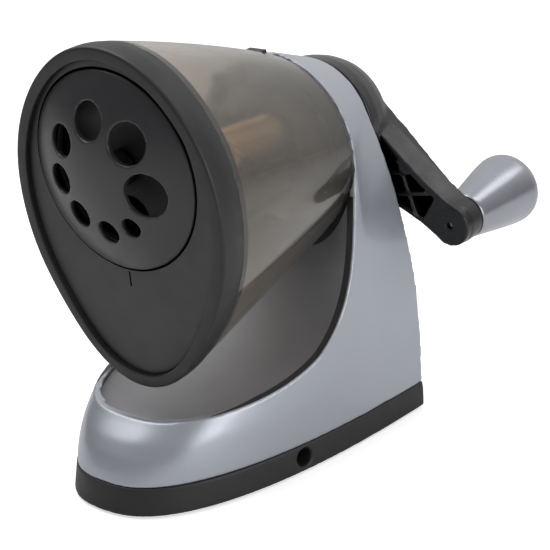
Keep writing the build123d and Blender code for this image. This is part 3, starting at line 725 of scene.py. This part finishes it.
def make_floor():
    work = bmesh.new()
    bmesh.ops.create_grid(work, x_segments=8, y_segments=8, size=FLOOR_SIZE / 2)
    mesh = bpy.data.meshes.new("floor")
    work.to_mesh(mesh)
    work.free()
    floor = bpy.data.objects.new("floor", mesh)
    bpy.context.scene.collection.objects.link(floor)
    floor.location.z = -0.00005
    paper = surface("floor", (0.80, 0.80, 0.80), 0.7, spread=0.01, bump=0.0, wear=0.0, specular=0.2)
    tree = paper.node_tree
    glow = tree.nodes.new("ShaderNodeMath")
    glow.operation = "MULTIPLY"
    glow.inputs[1].default_value = FLOOR_GLOW
    tree.links.new(seen_straight(tree), glow.inputs[0])
    shader = tree.nodes["Principled BSDF"]
    shader.inputs["Emission Color"].default_value = (1, 1, 1, 1)
    tree.links.new(glow.outputs[0], shader.inputs["Emission Strength"])
    mesh.materials.append(paper)


def add_light(name, place, size, power, target=(0, 0, 0.06), tint=(1, 1, 1)):
    light = bpy.data.lights.new(name, "AREA")
    light.shape = "RECTANGLE"
    light.size, light.size_y = size
    light.energy = power
    light.color = tint
    lamp = bpy.data.objects.new(name, light)
    lamp.location = place
    lamp.rotation_mode = "QUATERNION"
    lamp.rotation_quaternion = (Vector(target) - Vector(place)).to_track_quat("-Z", "Y")
    bpy.context.scene.collection.objects.link(lamp)


BACKDROP_DIRECTION = (-0.20, 0.85, 0.50)    # towards the lit white wall


def make_world(low, high, behind):
    """A pale room, brighter overhead and brightest behind the object. Seen straight it is plain white."""
    world = bpy.data.worlds.new("studio")
    world.use_nodes = True
    tree = world.node_tree
    add, link = tree.nodes.new, tree.links.new
    room = tree.nodes["Background"]
    place = add("ShaderNodeTexCoord")
    split = add("ShaderNodeSeparateXYZ")
    link(place.outputs["Generated"], split.inputs["Vector"])
    rise = add("ShaderNodeMapRange")
    rise.inputs["From Min"].default_value = -0.1
    rise.inputs["From Max"].default_value = 0.9
    rise.inputs["To Min"].default_value = low
    rise.inputs["To Max"].default_value = high
    link(split.outputs["Z"], rise.inputs["Value"])
    facing = add("ShaderNodeVectorMath")
    facing.operation = "DOT_PRODUCT"
    facing.inputs[1].default_value = Vector(BACKDROP_DIRECTION).normalized()
    link(place.outputs["Generated"], facing.inputs[0])
    glow = add("ShaderNodeMapRange")
    glow.interpolation_type = "SMOOTHSTEP"
    for socket, value in (("From Min", 0.35), ("From Max", 0.90), ("To Max", behind)):
        glow.inputs[socket].default_value = value
    link(facing.outputs["Value"], glow.inputs["Value"])
    total = add("ShaderNodeMath")
    link(rise.outputs["Result"], total.inputs[0])
    link(glow.outputs["Result"], total.inputs[1])
    link(total.outputs[0], room.inputs["Strength"])
    room.inputs["Color"].default_value = (1, 1, 1, 1)
    white = add("ShaderNodeBackground")
    white.inputs["Color"].default_value = (1, 1, 1, 1)
    mix = add("ShaderNodeMixShader")
    link(seen_straight(tree), mix.inputs["Fac"])
    link(room.outputs[0], mix.inputs[1])
    link(white.outputs[0], mix.inputs[2])
    link(mix.outputs[0], tree.nodes["World Output"].inputs["Surface"])
    bpy.context.scene.world = world


CAMERA_PLACE = (0.2910, -0.33485, 0.2111)
CAMERA_AZIMUTH, CAMERA_ELEVATION, CAMERA_ROLL = 38.18, 19.10, -1.686
CAMERA_LENS = 98.91
CAMERA_SHIFT = (-0.0269, -0.0089)


def make_camera():
    azimuth, elevation, roll = (math.radians(v) for v in (CAMERA_AZIMUTH, CAMERA_ELEVATION, CAMERA_ROLL))
    ahead = Vector((-math.sin(azimuth) * math.cos(elevation), math.cos(azimuth) * math.cos(elevation),
                    -math.sin(elevation)))
    level = Vector((math.cos(azimuth), math.sin(azimuth), 0))
    over = level.cross(ahead)
    right = level * math.cos(roll) + over * math.sin(roll)
    top = over * math.cos(roll) - level * math.sin(roll)
    camera = bpy.data.objects.new("camera", bpy.data.cameras.new("camera"))
    camera.data.lens = CAMERA_LENS
    camera.data.shift_x, camera.data.shift_y = CAMERA_SHIFT
    camera.data.clip_start = 0.01
    turn = Matrix((right, top, -ahead)).transposed().to_4x4()
    camera.matrix_world = Matrix.Translation(CAMERA_PLACE) @ turn
    bpy.context.scene.collection.objects.link(camera)
    bpy.context.scene.camera = camera


make_floor()
make_world(0.08, 0.42, 0.50)
add_light("key", (-0.40, -0.12, 0.88), (0.8, 0.8), 5.8)
add_light("over", (0.26, 0.33, 0.66), (0.20, 0.35), 0.48, target=(0.05, 0.06, 0.06))
add_light("side", (0.90, -0.05, 0.30), (0.6, 0.5), 3.2)
make_camera()
bpy.context.scene.view_settings.view_transform = "Standard"
